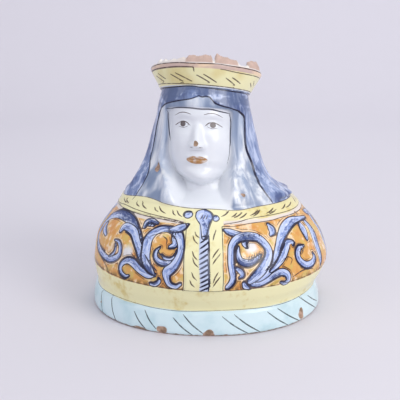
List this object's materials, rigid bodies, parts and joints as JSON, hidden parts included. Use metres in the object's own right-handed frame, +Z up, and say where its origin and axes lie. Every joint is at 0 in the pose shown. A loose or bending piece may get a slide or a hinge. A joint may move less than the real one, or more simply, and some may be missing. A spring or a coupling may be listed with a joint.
{
  "type": "ceramic figurine",
  "caption": "Painted tin-glazed earthenware bust of a veiled woman with a broken open crown, round torso with scroll panels, on a low round plinth; stands by its own weight.",
  "frame": {"origin": "middle of the flat underside, on the surface that the bust stands on", "axes": "+Z up; the face and the front of the torso look along -Y; +X is to the right seen from the front"},
  "size_m": [0.2199, 0.2076, 0.2314],
  "materials": {
    "glaze": "glossy tin glaze, painted in blue, yellow, orange and turquoise"
  },
  "bodies": {
    "root": {"bust": "glaze"}
  },
  "joints": []
}
